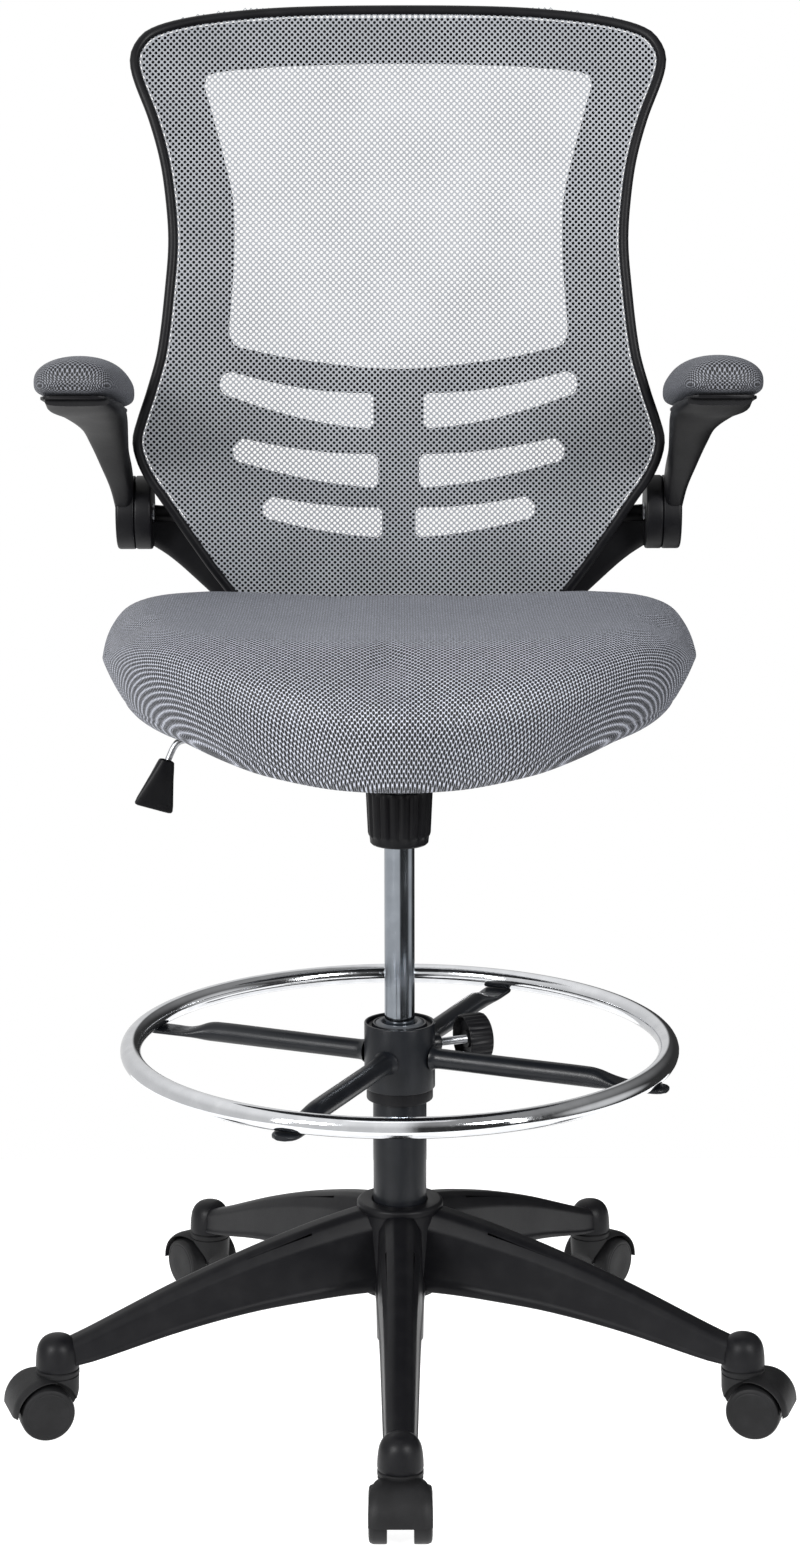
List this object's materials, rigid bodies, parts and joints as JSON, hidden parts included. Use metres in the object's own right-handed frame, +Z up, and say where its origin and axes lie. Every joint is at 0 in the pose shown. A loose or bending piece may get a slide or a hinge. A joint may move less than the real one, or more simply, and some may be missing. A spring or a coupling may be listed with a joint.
{
  "type": "drafting chair",
  "caption": "High drafting chair with a mesh back, padded seat, flip-up armrests, a clamped foot ring on a gas-lift column, and a star base on casters.",
  "frame": {"origin": "centre of the bounding box in plan, on the floor", "axes": "+Z up, the sitter faces -Y, +X is the sitter's left"},
  "size_m": [0.7322, 0.6975, 1.2845],
  "materials": {
    "black_nylon": "moulded satin black glass-filled nylon",
    "caster_nylon": "smooth satin black nylon",
    "black_paint": "satin black powder coat on steel",
    "blue_steel": "satin steel-blue gas cylinder",
    "chrome": "polished chrome plate",
    "zinc_steel": "bright zinc plate",
    "grey_nylon": "grey acetal bearing plastic",
    "seat_fabric": "air-mesh knit over foam, grey-blue yarn with dark pinholes",
    "back_fabric": "open knitted mesh, grey-blue",
    "pad_fabric": "air-mesh knit over foam, grey-blue yarn with dark pinholes"
  },
  "bodies": {
    "base": {"star_base": "black_nylon", "column_tube": "black_paint", "guide_bush": "grey_nylon"},
    "lift_rod": {"piston_rod": "zinc_steel", "thrust_bearing": "zinc_steel", "retaining_clip": "zinc_steel"},
    "lift": {"gas_cylinder": "blue_steel", "mechanism_housing": "black_paint", "tilt_shaft": "zinc_steel"},
    "button": {"release_button": "zinc_steel"},
    "seat": {"tilt_plate": "black_paint", "seat_pan": "black_nylon", "seat_cushion": "seat_fabric", "back_support": "black_nylon", "back_shell": "black_nylon", "back_rim": "black_nylon", "back_mesh": "back_fabric", "arm_pivot_bolt_left": "zinc_steel", "arm_pivot_bolt_right": "zinc_steel"},
    "left_arm": {"arm_left": "black_nylon", "armpad_left": "pad_fabric"},
    "right_arm": {"arm_right": "black_nylon", "armpad_right": "pad_fabric"},
    "tension": {"tension_bolt": "zinc_steel", "tension_spring": "zinc_steel"},
    "tension_handwheel": {"tension_knob": "black_nylon"},
    "tilt_lock": {"lever_slider": "grey_nylon"},
    "lever": {"lever_rod": "zinc_steel", "lever_paddle": "black_nylon"},
    "ring_slider": {"ring_bush": "black_nylon"},
    "ring": {"ring_collar": "black_paint", "foot_ring": "chrome", "spoke_1": "black_paint", "spoke_2": "black_paint", "spoke_3": "black_paint", "spoke_4": "black_paint"},
    "clamp": {"clamp_screw": "zinc_steel", "clamp_knob": "black_nylon"},
    "caster_1": {"caster_stem_1": "zinc_steel", "caster_hood_1": "caster_nylon"},
    "wheel_left_1": {"wheel_left_1": "caster_nylon"},
    "wheel_right_1": {"wheel_right_1": "caster_nylon"},
    "caster_2": {"caster_stem_2": "zinc_steel", "caster_hood_2": "caster_nylon"},
    "wheel_left_2": {"wheel_left_2": "caster_nylon"},
    "wheel_right_2": {"wheel_right_2": "caster_nylon"},
    "caster_3": {"caster_stem_3": "zinc_steel", "caster_hood_3": "caster_nylon"},
    "wheel_left_3": {"wheel_left_3": "caster_nylon"},
    "wheel_right_3": {"wheel_right_3": "caster_nylon"},
    "caster_4": {"caster_stem_4": "zinc_steel", "caster_hood_4": "caster_nylon"},
    "wheel_left_4": {"wheel_left_4": "caster_nylon"},
    "wheel_right_4": {"wheel_right_4": "caster_nylon"},
    "caster_5": {"caster_stem_5": "zinc_steel", "caster_hood_5": "caster_nylon"},
    "wheel_left_5": {"wheel_left_5": "caster_nylon"},
    "wheel_right_5": {"wheel_right_5": "caster_nylon"}
  },
  "joints": [
    {"name": "base_swivel", "type": "hinge", "parent": "base", "child": "lift_rod", "pos_m": [0, 0.0292, 0.05], "axis": [0, 0, 1], "continuous": true},
    {"name": "seat_height", "type": "slide", "parent": "lift_rod", "child": "lift", "axis": [0, 0, 1], "range_m": [-0.185, 0]},
    {"name": "seat_tilt", "type": "hinge", "parent": "lift", "child": "seat", "pos_m": [0, -0.0088, 0.6275], "axis": [-1, 0, 0], "range_deg": [0, 15], "stiffness_Nm_per_rad": 70, "springref_deg": -20.05},
    {"name": "arm_flip_left", "type": "hinge", "parent": "seat", "child": "left_arm", "pos_m": [0.2545, 0.2612, 0.805], "axis": [-1, 0, 0], "range_deg": [0, 90]},
    {"name": "arm_flip_right", "type": "hinge", "parent": "seat", "child": "right_arm", "pos_m": [-0.2545, 0.2612, 0.805], "axis": [-1, 0, 0], "range_deg": [0, 90]},
    {"name": "tension_rise", "type": "slide", "parent": "lift", "child": "tension", "axis": [0, 0, 1], "range_m": [0, 0.01], "deforming": ["tension_spring"]},
    {"name": "tension_turn", "type": "hinge", "parent": "tension", "child": "tension_handwheel", "pos_m": [0, -0.0458, 0.5475], "axis": [0, 0, 1], "range_deg": [-1080, 1080]},
    {"name": "tilt_lock_pull", "type": "slide", "parent": "lift", "child": "tilt_lock", "axis": [-1, 0, 0], "range_m": [0, 0.012]},
    {"name": "lever_lift", "type": "hinge", "parent": "tilt_lock", "child": "lever", "pos_m": [-0.05, 0.0242, 0.6275], "axis": [0, 1, 0], "range_deg": [0, 3.5], "stiffness_Nm_per_rad": 2, "springref_deg": -5.73},
    {"name": "button_press", "type": "slide", "parent": "lift", "child": "button", "axis": [0, 0, 1], "range_m": [-0.0032, 0]},
    {"name": "ring_height", "type": "slide", "parent": "base", "child": "ring_slider", "axis": [0, 0, 1], "range_m": [-0.09, 0]},
    {"name": "ring_turn", "type": "hinge", "parent": "ring_slider", "child": "ring", "pos_m": [0, 0.0292, 0.33], "axis": [0, 0, 1], "continuous": true},
    {"name": "clamp_turn", "type": "hinge", "parent": "ring", "child": "clamp", "pos_m": [0, 0.0292, 0.3355], "axis": [0.9272, 0.3746, 0], "range_deg": [0, 720]},
    {"name": "caster_swivel_1", "type": "hinge", "parent": "base", "child": "caster_1", "pos_m": [0, -0.3018, 0.06], "axis": [0, 0, 1], "continuous": true},
    {"name": "wheel_spin_left_1", "type": "hinge", "parent": "caster_1", "child": "wheel_left_1", "pos_m": [0, -0.3168, 0.025], "axis": [-1, 0, 0], "continuous": true},
    {"name": "wheel_spin_right_1", "type": "hinge", "parent": "caster_1", "child": "wheel_right_1", "pos_m": [0, -0.3168, 0.025], "axis": [-1, 0, 0], "continuous": true},
    {"name": "caster_swivel_2", "type": "hinge", "parent": "base", "child": "caster_2", "pos_m": [0.3148, -0.07308, 0.06], "axis": [0, 0, 1], "continuous": true},
    {"name": "wheel_spin_left_2", "type": "hinge", "parent": "caster_2", "child": "wheel_left_2", "pos_m": [0.32907, -0.07772, 0.025], "axis": [-0.309, -0.9511, 0], "continuous": true},
    {"name": "wheel_spin_right_2", "type": "hinge", "parent": "caster_2", "child": "wheel_right_2", "pos_m": [0.32907, -0.07772, 0.025], "axis": [-0.309, -0.9511, 0], "continuous": true},
    {"name": "caster_swivel_3", "type": "hinge", "parent": "base", "child": "caster_3", "pos_m": [0.19456, 0.29698, 0.06], "axis": [0, 0, 1], "continuous": true},
    {"name": "wheel_spin_left_3", "type": "hinge", "parent": "caster_3", "child": "wheel_left_3", "pos_m": [0.20337, 0.30912, 0.025], "axis": [0.809, -0.5878, 0], "continuous": true},
    {"name": "wheel_spin_right_3", "type": "hinge", "parent": "caster_3", "child": "wheel_right_3", "pos_m": [0.20337, 0.30912, 0.025], "axis": [0.809, -0.5878, 0], "continuous": true},
    {"name": "caster_swivel_4", "type": "hinge", "parent": "base", "child": "caster_4", "pos_m": [-0.19456, 0.29698, 0.06], "axis": [0, 0, 1], "continuous": true},
    {"name": "wheel_spin_left_4", "type": "hinge", "parent": "caster_4", "child": "wheel_left_4", "pos_m": [-0.20337, 0.30912, 0.025], "axis": [0.809, 0.5878, 0], "continuous": true},
    {"name": "wheel_spin_right_4", "type": "hinge", "parent": "caster_4", "child": "wheel_right_4", "pos_m": [-0.20337, 0.30912, 0.025], "axis": [0.809, 0.5878, 0], "continuous": true},
    {"name": "caster_swivel_5", "type": "hinge", "parent": "base", "child": "caster_5", "pos_m": [-0.3148, -0.07308, 0.06], "axis": [0, 0, 1], "continuous": true},
    {"name": "wheel_spin_left_5", "type": "hinge", "parent": "caster_5", "child": "wheel_left_5", "pos_m": [-0.32907, -0.07772, 0.025], "axis": [-0.309, 0.9511, 0], "continuous": true},
    {"name": "wheel_spin_right_5", "type": "hinge", "parent": "caster_5", "child": "wheel_right_5", "pos_m": [-0.32907, -0.07772, 0.025], "axis": [-0.309, 0.9511, 0], "continuous": true}
  ],
  "couplings": [
    {"joint": "tension_rise", "follows": "seat_tilt", "m_per_rad": 0.037},
    {"joint": "button_press", "follows": "lever_lift", "m_per_rad": -0.05}
  ]
}
